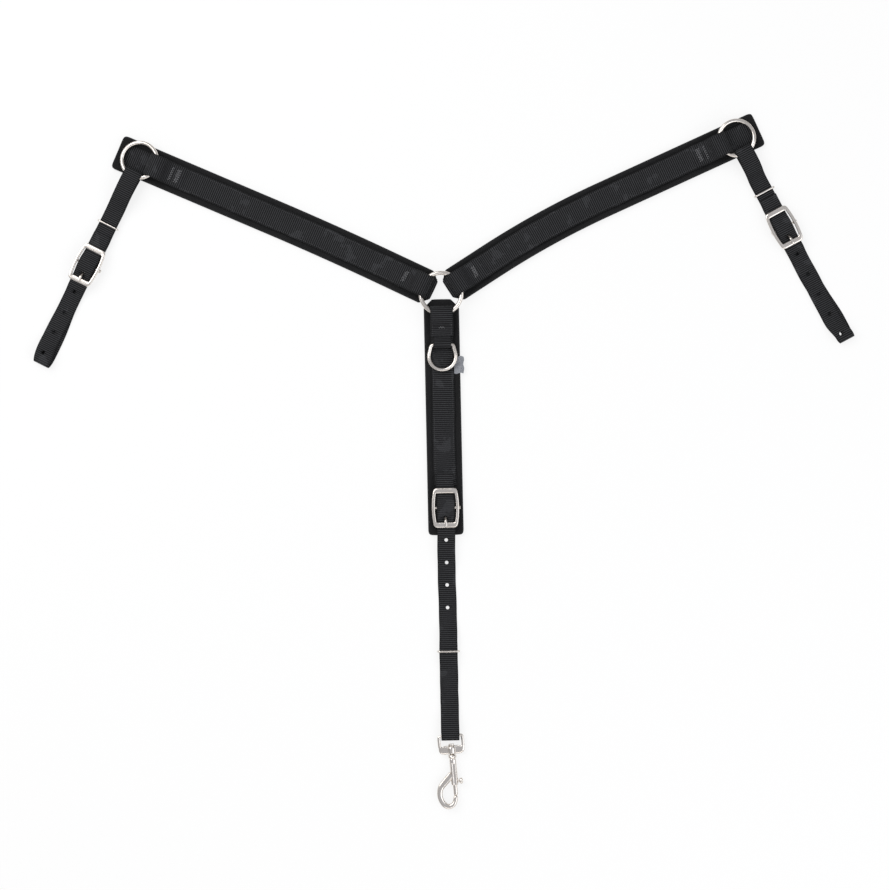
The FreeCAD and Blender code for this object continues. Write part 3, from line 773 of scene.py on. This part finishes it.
# ---- Chest webbing, dee tab and buckle tab ----
def chestWebbing():
    low = baseTop + half
    radius = arms["centreRing"][0]
    hollow = ringHollow(*arms["centreRing"], stack["wide"])
    small = stack["ringLevel"] - low
    endLevel = baseTop + ply + stack["web"] + stack["plyGap"] + half
    walk = Walk((chest["loopEnd"], 0, endLevel), 180, stack["wide"])
    walk.line(5).rise(endLevel - stack["ringLevel"] - small - hollow, 20)
    walk.lineTo(radius).turn(small + hollow, 90).turn(small, 90).lineTo(radius + 8)
    walk.rise(-stack["web"], 8)
    onPad = walk.reach
    walk.lineTo(chest["webEnd"])
    rows = bmesh.new()
    for across in (-chest["rowAcross"], chest["rowAcross"]):
        stitchRow(rows, walk, 1.5, 24.0, across, -1, chest["rowPitch"])
        stitchRow(rows, walk, onPad + 16, walk.reach - 6, across, 1, chest["rowPitch"])
    tacks = bmesh.new()
    barTack(tacks, walk, 12.0, -1, 9.0, 1)
    webbingPiece("chestWebbing", walk, chestFrame, webbing, "chest", "chest_webbing")
    threadPiece("chestRows", rows, chestFrame, blackThread, "chest")
    threadPiece("chestTack", tacks, chestFrame, greyThread, "chest")

    fold = chest["deeWire"] / 2 + stack["softGap"] + half
    tab = Walk((chest["deeTabStart"], 0, low))
    tab.lineTo(chest["deeBarAt"]).turn(fold, 180).rise(2 * fold - ply, 12)
    tab.lineTo(chest["deeTabStart"])
    webbingPiece("deeTab", tab, chestFrame, strapWebbing, "chest", "dee_tab")


def foldOverBar(walk, barAt):
    walk.lineTo(barAt).turn(foldRadius, 180).line(2)
    return walk.rise(foldUp - ply - half, 18)


def billetRun(walk, barAt):
    rise = overUp - underUp
    walk.lineTo(barAt + 20).rise(-rise, 18).line(4).rise(rise, 18)
    return walk.lineTo(barAt - chest["freeEnd"])


def punch(piece, place, cuts):
    # Takes each cutter, a round hole or a slot, out of a strap.
    mesh = bmesh.new()
    for x, low, high, length, width in cuts:
        if length:
            made = bmesh.ops.create_cube(mesh, size=1.0)["verts"]
            bmesh.ops.scale(mesh, vec=(length, width, high - low), verts=made)
        else:
            made = bmesh.ops.create_cone(mesh, cap_ends=True, segments=20, radius1=width / 2,
                                         radius2=width / 2, depth=high - low)["verts"]
        bmesh.ops.translate(mesh, vec=(x, 0, (low + high) / 2), verts=made)
    cutter = placed("cutter", mesh, place, strapWebbing)
    cut = piece.modifiers.new("holes", "BOOLEAN")
    cut.operation = "DIFFERENCE"
    cut.solver = "EXACT"
    cut.object = cutter
    applied(piece)
    bpy.data.objects.remove(cutter)


def strapCuts(barAt, level):
    # The slot in the fold, and the hole that the tongue comes up through.
    return [(barAt + 0.5, level + 5.2, level + 8.85, 13.0, 5.2),
            (barAt + 14.0, level + 4.6, level + 11.6, 6.0, 4.4)]


chestWebbing()
tab = Walk((chest["webEnd"] + 1, 0, stack["padTop"] + half))
foldOverBar(tab, chest["buckleAt"]).lineTo(chest["buckleAt"] - chest["freeEnd"] + 4)
tabPiece = webbingPiece("chestBuckleTab", tab, chestFrame, strapWebbing, "chest",
                        "chest_buckle_tab")
punch(tabPiece, chestFrame, strapCuts(chest["buckleAt"], stack["padTop"])[:1])
print("chest webbing walked")


# ---- Tugs ----
tugs = {
    "left": {"reach": 320.0, "buckleAt": 165.0, "keeperAt": 101.4},
    "right": {"reach": 324.5, "buckleAt": 142.4, "keeperAt": 85.2},
    "clear": 46.0,
    "loop": 5.0,
    "play": 8.0,
    "firstHole": 42.0,
    "pitch": 32.0,
    "hole": 5.0,
    "skew": 4.6,
}


def tugStrap(side):
    own = tugs[side]
    place = tugFrames[side]
    reach, barAt, keeperAt = own["reach"], own["buckleAt"], own["keeperAt"]
    radius, wire = arms["outerRing"]
    around = wire / 2 + stack["softGap"] + half
    flatAt = keeperAt - tugs["play"] - 4
    level = keeperLow
    walk = Walk((barAt - chest["tail"], 0, level + half))
    foldOverBar(walk, barAt).lineTo(flatAt)
    walk.rise(walk.place.z - stack["ringLevel"] - around, flatAt - tugs["clear"] + 6)
    walk.lineTo(radius - ringHollow(radius, wire, stack["narrow"])).turn(around, 180)
    walk.lineTo(tugs["clear"]).rise(level + half - walk.place.z, flatAt - tugs["clear"])
    walk.lineTo(keeperAt + tugs["play"] + 4).rise(half - walk.place.z, 16)
    walk.lineTo(reach - tugs["loop"] - half).turn(tugs["loop"], 180)
    folded = walk.reach - tugs["loop"] * math.pi / 2
    walk.rise(walk.place.z - ply - half, 35).lineTo(barAt + 50)
    walk.rise(walk.place.z - level - underUp, 22)
    billetRun(walk, barAt)

    def skewed(across, height, reach, basis):
        # The back layer lies a little aside of the front one near the fold.
        aside = eased((reach - folded + 110) / 85) * (1 - eased((reach - folded + 4) / 42))
        narrow = 1 - 0.09 * math.exp(-(((reach - folded) / 9) ** 2))
        across, height = ribs(across, height, reach, basis)
        return across * narrow + tugs["skew"] * aside, height

    piece = webbingPiece(side + "TugStrap", walk, place, strapWebbing, side + "_tug",
                         side + "_tug_strap", rule=skewed)
    deep = stack["web"] + stack["plyGap"] / 2
    count = int((reach - barAt - tugs["firstHole"] - 12) // tugs["pitch"]) + 1
    cuts = strapCuts(barAt, level)
    for index in range(count):
        through = side == "right" and index == count - 1
        x = barAt + tugs["firstHole"] + index * tugs["pitch"]
        cuts.append((x, -1.0 if through else deep, deep + 14, 0, tugs["hole"]))
    punch(piece, place, cuts)


for side in ("left", "right"):
    tugStrap(side)
print("tugs walked")


# ---- Tie-down ----
tie = {"hingeAt": 354.0, "firstHole": 45.6, "keeperAt": 505.0, "snapBarAt": 624.0, "slack": 2.6,
       "snapLevel": 6.4, "eyeBar": 4.4}


def tieDown():
    onPad = stack["padTop"] + stack["softGap"] + half
    play = tugs["play"] + 4
    fold = tie["eyeBar"] / 2 + stack["softGap"] + half
    lift = tie["snapLevel"] - fold - half
    keeperAt, snapAt, hingeAt = tie["keeperAt"], tie["snapBarAt"], tie["hingeAt"]
    walk = Walk((keeperAt - play - 2, 0, keeperLow + half))
    walk.lineTo(keeperAt + play).rise(half - walk.place.z, 18).lineTo(snapAt - 28).rise(lift, 20)
    walk.lineTo(snapAt + tie["slack"]).turn(fold, 180).line(tie["slack"] + 8)
    walk.rise(walk.place.z - ply - half, 34).lineTo(keeperAt + play + 18)
    walk.rise(-keeperLow, 18).lineTo(keeperAt - play - 6).rise(walk.place.z - half, 30)
    walk.lineTo(hingeAt + 52).rise(half - onPad, 48).lineTo(hingeAt).line(4)
    walk.rise(onPad - stack["padTop"] - underUp, 20)
    billetRun(walk, chest["buckleAt"])
    piece = webbingPiece("tieDownStrap", walk, chestFrame, strapWebbing, None,
                         "tie_down_billet", "tie_down_strap")
    cuts = strapCuts(chest["buckleAt"], stack["padTop"])[1:]
    for index in range(4):
        x = chest["buckleAt"] + tie["firstHole"] + index * tugs["pitch"]
        low = stack["padTop"] if index == 0 else -1.0
        cuts.append((x, low, low + 14, 0, tugs["hole"]))
    punch(piece, chestFrame, cuts)
    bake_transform(piece)


tieDown()
print("tie-down walked")


# ---- Rings, keepers and buckles ----
def plain(across, height, reach, basis):
    return across, height


def closedRing(walk, rule=plain):
    walk.shape(rule)
    return walk.close()


def facing(degrees):
    # Heading in the plan, with z up.
    return Matrix.Rotation(math.radians(degrees), 3, "Z")


def wireWalk(start, degrees, wire, step=1.2):
    walk = Walk(start, 0, wire, wire, wire / 2 - 0.15, 5, 0, step)
    return walk.faced(facing(degrees))


def hardware(name, mesh, place, body, *nodes):
    piece = placed(name, mesh, place, nickel)
    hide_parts(*nodes)
    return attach(piece, body)


def gathered(*meshes):
    # Several closed forms as one mesh.
    whole = bmesh.new()
    for mesh in meshes:
        data = bpy.data.meshes.new("part")
        mesh.to_mesh(data)
        mesh.free()
        whole.from_mesh(data)
        bpy.data.meshes.remove(data)
    return whole


def wireRing(name, node, radius, wire, body):
    walk = wireWalk((radius, 0, 0), 90, wire).bend(radius, 360)
    hardware(name, closedRing(walk).mesh, Matrix.Translation(middle(node)), body, node)


wireRing("centreRing", "centre_ring", *arms["centreRing"], "centre_ring")
for side in ("left", "right"):
    wireRing(side + "OuterRing", side + "_outer_ring", *arms["outerRing"], side + "_outer_ring")

dee = {"radius": 18.2, "drop": 12.0, "halfBar": 15.3, "corner": 4.0}


def deeRing():
    level = baseTop + stack["web"] + stack["softGap"] + chest["deeWire"] / 2
    lean = math.degrees(math.atan2(dee["radius"] - dee["halfBar"], dee["drop"]))
    walk = wireWalk((chest["deeBarAt"], 0, level), -90, chest["deeWire"], 0.9)
    straight = dee["halfBar"] - dee["corner"] * math.tan(math.radians(45 - lean / 2))
    walk.line(straight).bend(dee["corner"], 90 - lean)
    run = (dee["drop"] + chest["deeBarAt"] - walk.place.x) / walk.ahead.x
    walk.line(run)
    wide = abs(walk.place.y) / math.cos(math.radians(lean))
    walk.bend(wide, 180 + 2 * lean).line(run).bend(dee["corner"], 90 - lean).line(straight)
    hardware("deeRing", closedRing(walk).mesh, chestFrame, "dee_ring", "dee_ring")


deeRing()


def keeperPiece(name, place, at, top, body, node):
    wire = stack["keeperWire"]
    wide = stack["narrow"] / 2 + 0.6 + wire / 2
    tall = top + stack["softGap"]
    walk = wireWalk((at, 0, wire / 2), 90, wire, 0.8)
    corner = 2.4
    level = wide - corner
    upright = tall - 2 * corner
    walk.line(level).turn(corner, 90).line(upright).turn(corner, 90).line(2 * level)
    walk.turn(corner, 90).line(upright).turn(corner, 90).line(level)
    hardware(name, closedRing(walk).mesh, place, body, node)


keeperTop = keeperLow + ply + stack["web"]
keeperPiece("tieDownKeeper", chestFrame, tie["keeperAt"], keeperTop, "tie_down_keeper",
            "tie_down_keeper")
for side in ("left", "right"):
    keeperPiece(side + "TugKeeper", tugFrames[side], tugs[side]["keeperAt"], keeperTop,
                side + "_tug_keeper", side + "_tug_keeper")
print("rings and keepers made")

buckleForm = {"endAt": 24.2, "endWidth": 7.6, "sideAt": 16.9, "sideWidth": 4.4, "thick": 3.2,
              "corner": 5.0, "bow": 8.9, "eye": 2.8, "eyeWall": 1.4, "tongueWidth": 3.4,
              "tongueThick": 2.6, "tongueBend": 3.2, "tongueFlat": 6.6, "tongueEnd": 27.2,
              "lugLength": 7.2, "lugAt": 17.0}


def buckleFrame(place, barAt, level):
    form = buckleForm
    bow = math.radians(form["bow"])
    chord = form["endAt"] - form["corner"] * (1 - math.sin(bow))
    sweep = chord / math.sin(bow)
    straight = (form["sideAt"] - sweep * (1 - math.cos(bow))
                - form["corner"] * math.cos(bow))
    z = level + plateUp + form["thick"] / 2
    walk = Walk((barAt + form["endAt"], 0, z), 0, form["sideWidth"], form["thick"], 1.25, 4, 0, 0.9)
    walk.faced(facing(90))
    for _ in range(2):
        walk.line(straight).bend(form["corner"], 90 - form["bow"]).bend(sweep, 2 * form["bow"])
        walk.bend(form["corner"], 90 - form["bow"]).line(straight)

    def widened(across, height, reach, basis):
        end = eased((abs(basis.col[0].y) - 0.25) / 0.7)
        width = form["sideWidth"] + (form["endWidth"] - form["sideWidth"]) * end
        crowned = height * (1 + 0.1 * (1 - end)) - 0.25 * end * abs(across) / form["sideWidth"]
        return across * width / form["sideWidth"], crowned

    lugs = bmesh.new()
    mid = form["lugLength"] / 2
    for sign in (1, -1):
        lug = Walk((barAt - mid, sign * form["lugAt"], level + barUp + 0.9), 0, 3.0, 5.8, 1.0, 3,
                   0, 0.9)
        lug.line(form["lugLength"])
        lug.shape(lambda across, height, reach, basis: (
            across, height * (1 - 0.35 * (abs(reach - mid) / mid) ** 3)))
        lugs = gathered(lugs, lug.mesh)
    return gathered(closedRing(walk, widened).mesh, lugs)


def buckleTongue(barAt, level):
    # An eye round the centre bar, and an arm that comes up through the strap onto the end bar.
    form = buckleForm
    eye = Walk((barAt + form["eye"], 0, level + barUp), 90, form["tongueWidth"],
               form["eyeWall"], 0.4, 2, 0, 0.6)
    eye.turn(form["eye"], 360)
    rest = level + plateUp + form["thick"] + stack["softGap"] + form["tongueThick"] / 2
    arm = Walk((barAt + 2.7, 0, level + 5.0), 0, form["tongueWidth"], form["tongueThick"], 1.0, 3,
               0, 0.6)
    slope = math.radians(45)
    bend = form["tongueBend"]
    climb = rest - arm.place.z - 2 * bend * (1 - math.cos(slope))
    arm.line(form["tongueFlat"]).turn(bend, 45).line(climb / math.sin(slope)).turn(bend, -45)
    arm.lineTo(barAt + form["tongueEnd"])

    def pointed(across, height, reach, basis):
        left = arm.reach - reach
        narrow = min(1.0, 0.35 + 0.65 * math.sqrt(min(1.0, left / 3.0)))
        thin = min(1.0, 0.45 + 0.55 * math.sqrt(min(1.0, left / 2.4)))
        swell = 1 + 0.14 * math.exp(-(((left - 4.5) / 2.5) ** 2))
        return across * narrow * swell, height * thin

    arm.shape(pointed)
    return gathered(closedRing(eye).mesh, arm.mesh)


def buckle(prefix, name, place, barAt, level):
    hardware(name + "BuckleFrame", buckleFrame(place, barAt, level), place, prefix + "_buckle",
             prefix + "_buckle_frame")
    hardware(name + "BuckleTongue", buckleTongue(barAt, level), place, prefix + "_tongue",
             prefix + "_buckle_tongue")
    rivet = bmesh.new()
    for sign, out in ((1, 20.9), (-1, 19.1)):
        head = turned((barAt, sign * (out - 1.6), level + barUp), facing(sign * 90),
                      [(0, 2.0), (0.4, 2.6), (1.1, 2.5), (1.6, 1.6)], 0.2)
        rivet = gathered(rivet, head)
    shaft = turned((barAt, -18.4, level + barUp), facing(90), [(0, 2.0), (38.0, 2.0)], 2.0)
    hardware(name + "BuckleBar", gathered(rivet, shaft), place, prefix + "_buckle",
             prefix + "_buckle_bar")


def turned(start, basis, outline, step=0.5, groove=None):
    # A lathe-turned part: the outline lists distance along and radius.
    walk = Walk(start, 0, 2.0, 2.0, 0.93, 7, 0, step)
    walk.faced(basis)
    for (near, _), (far, _) in zip(outline, outline[1:]):
        walk.line(max(far - near, 0.02))

    def rule(across, height, reach, basis):
        radius = outline[-1][1]
        for (near, low), (far, high) in zip(outline, outline[1:]):
            if near <= reach <= far:
                radius = low + (high - low) * (reach - near) / max(far - near, 0.001)
                break
        if groove and groove(across, height, reach):
            radius *= snap["grooveDepth"]
        return across * radius, height * radius

    walk.shape(rule)
    return walk.mesh


buckle("chest", "chest", chestFrame, chest["buckleAt"], stack["padTop"])
for side in ("left", "right"):
    buckle(side + "_tug", side + "Tug", tugFrames[side], tugs[side]["buckleAt"], keeperLow)
print("buckles made")

# ---- Bolt snap: x along the snap, y towards the thumb knob ----
snap = {"level": 6.4, "bar": 4.4, "sideAt": 16.7, "plateAt": 20.0, "plateWidth": 12.0,
        "sideWidth": 4.2, "hookWidth": 7.4, "hookThick": 8.6, "knobAt": 64.7, "shoulder": 7.0,
        "corner": 3.0, "hubAt": 14.6, "stemAt": 11.4, "shankAt": 26.6, "hookAt": 84.3,
        "rodAt": 52.0, "grooveDepth": 0.72}
snapFrame = chestFrame @ Matrix.Translation((tie["snapBarAt"] * mm, 0, 0)) @ Matrix.Rotation(
    math.radians(headings["snapTilt"]), 4, "Z")


def snapEye():
    level = snap["level"]
    walk = Walk((0, 0, level), 0, snap["sideWidth"], snap["bar"], 1.7, 4, 0, 0.9)
    walk.faced(facing(-90))
    corner, shoulder = snap["corner"], snap["shoulder"]
    walk.line(snap["sideAt"] - corner).bend(corner, 90)
    walk.line(snap["plateAt"] - corner - shoulder).bend(shoulder, 90)
    walk.line(2 * (snap["sideAt"] - shoulder)).bend(shoulder, 90)
    walk.line(snap["plateAt"] - corner - shoulder).bend(corner, 90)
    walk.line(snap["sideAt"] - corner)

    def plate(across, height, reach, basis):
        depth = eased((basis.col[0].y - 0.35) / 0.6)
        width = snap["sideWidth"] + (snap["plateWidth"] - snap["sideWidth"]) * depth
        return across * width / snap["sideWidth"], height * (1 - 0.12 * depth)

    hub = turned((snap["hubAt"], 0, level), facing(0),
                 [(0, 3.4), (0.8, 5.0), (3.4, 5.6), (7.4, 5.6), (10.6, 5.0), (11.4, 3.6)])
    hardware("snapEye", gathered(closedRing(walk, plate).mesh, hub), snapFrame, "snap_eye",
             "snap_eye")


def snapBody():
    level = snap["level"]

    def groove(across, height, reach):
        top = abs(across) < 0.32 and height > 0
        slot = abs(height) < 0.32 and across > 0
        return (top and 12 < reach < 44) or (slot and 40.5 < reach < 55.5)

    stem = turned((snap["stemAt"], 0, level), facing(0),
                  [(0, 3.9), (2.2, 3.9), (2.6, 2.5), (15.2, 2.5)])
    shank = turned((snap["shankAt"], 0, level), facing(0),
                   [(0, 3.6), (0.8, 5.6), (2.7, 6.2), (4.6, 5.6), (5.6, 4.5), (7.5, 4.9),
                    (34.0, 5.0), (41.0, 5.0), (43.0, 4.6), (43.4, 3.2)], 0.5, groove)
    hook = Walk((snap["hookAt"], -0.4, level), 0, snap["hookWidth"], snap["hookThick"], 2.8, 4, 0,
                0.9)
    hook.bend(21.9, -29.3).bend(8.6, -109.4).bend(21.9, -70.6).bend(8.6, -16).line(21)

    def flowing(across, height, reach, basis):
        tip = min(1.0, 0.55 + 0.45 * math.sqrt(min(1.0, reach / 3.0)))
        neck = eased((reach - hook.reach + 34) / 20)
        crease = 0.9 * neck * math.exp(-((across - 1.2) / 0.9) ** 2)
        wide = 0.84 + 0.2 * eased(reach / 30) + 0.25 * neck
        return across * tip * wide, height * tip * (0.9 + 0.1 * eased(reach / 20)) - (
            crease if height > 0 else 0)

    hook.shape(flowing)
    hardware("snapBody", gathered(stem, shank, hook.mesh), snapFrame, "snap_body", "snap_body")


def snapBolt():
    level = snap["level"]
    rod = turned((snap["rodAt"], 0, level), facing(0),
                 [(0, 3.0), (30.6, 3.0), (31.5, 2.7), (32.1, 1.8)])
    knob = turned((snap["knobAt"], 0, level), facing(90),
                  [(0, 1.6), (6.6, 1.6), (7.3, 3.4), (8.0, 4.1), (10.0, 4.3), (11.1, 3.7),
                   (11.6, 2.4)], 0.35)
    hardware("snapBolt", gathered(rod, knob), snapFrame, "snap_bolt", "snap_bolt")


snapEye()
snapBody()
snapBolt()
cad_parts["snap_spring"].data.materials.clear()
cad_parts["snap_spring"].data.materials.append(steel)
print("snap made")

# ---- Label: a plain crumpled tab sewn in beside the webbing ----
label = {"at": 89.0, "length": 24.0, "near": 16.3, "far": 30.5, "thick": 0.7}


def labelPiece():
    mesh = bmesh.new()
    bmesh.ops.create_grid(mesh, x_segments=26, y_segments=16, size=0.5)
    wide = label["far"] - label["near"]
    for corner in mesh.verts:
        along, out = corner.co.x + 0.5, corner.co.y + 0.5
        fold = math.sin(along * 9.5 + out * 2.6) * 0.9 + math.sin(along * 17 - out * 5) * 0.35
        droop = eased((out - 0.62) / 0.38) * 2.2
        corner.co = (label["at"] + (along + 0.03 * math.sin(out * 7)) * label["length"],
                     label["near"] + out * wide * (0.96 + 0.04 * math.sin(along * 11)),
                     stack["padTop"] + 1.5 + fold * (0.35 + out * 0.65) - droop)
    piece = placed("labelTab", mesh, chestFrame, labelFabric)
    wall = piece.modifiers.new("wall", "SOLIDIFY")
    wall.thickness = label["thick"] * mm
    wall.offset = 1
    smoothed(piece)
    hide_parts("label_tab")
    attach(piece, "chest")


labelPiece()
print("label made")
